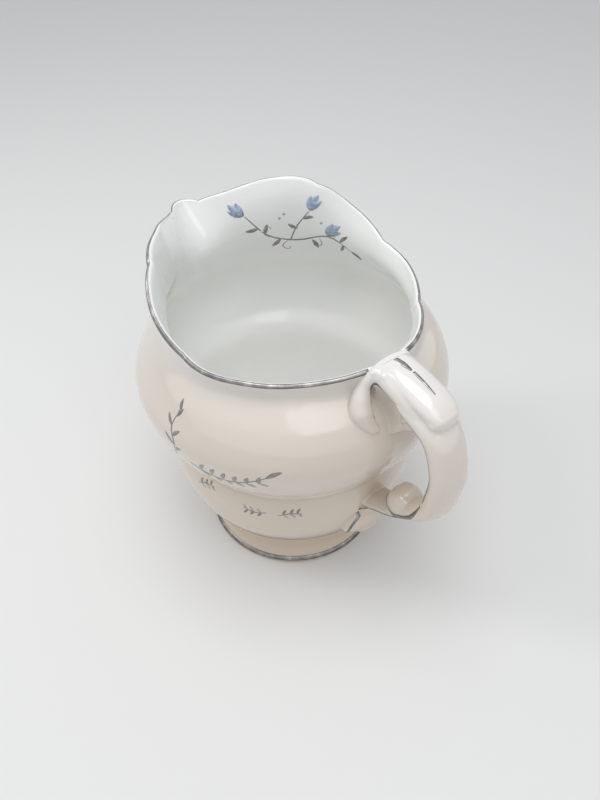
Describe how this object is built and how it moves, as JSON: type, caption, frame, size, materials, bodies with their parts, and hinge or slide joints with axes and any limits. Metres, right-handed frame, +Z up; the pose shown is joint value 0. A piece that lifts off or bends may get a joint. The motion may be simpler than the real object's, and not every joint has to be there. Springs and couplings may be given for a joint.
{
  "type": "cream jug",
  "caption": "Footed china cream jug with a squat double-bellied body, scalloped mouth and spout, scroll handle with thumb rest, and fired silver-coloured edge lines.",
  "frame": {"origin": "centre of the plane on which the foot ring rests", "axes": "+Z up, +X away from the handle, handle towards -X, Y across; the handle lies in the plane XZ and the spout 6 degrees off it"},
  "size_m": [0.1085, 0.0862, 0.099],
  "materials": {
    "china": "glossy clear glaze on warm white bone china",
    "lining": "bright fired platinum line"
  },
  "bodies": {
    "root": {"body": "china", "handle": "china", "rim_lining": "lining", "foot_lining": "lining", "waist_lining": "lining", "handle_thumb_lining": "lining", "handle_strap_lining": "lining", "handle_arm_lining": "lining", "handle_scroll_lining": "lining"}
  },
  "joints": []
}
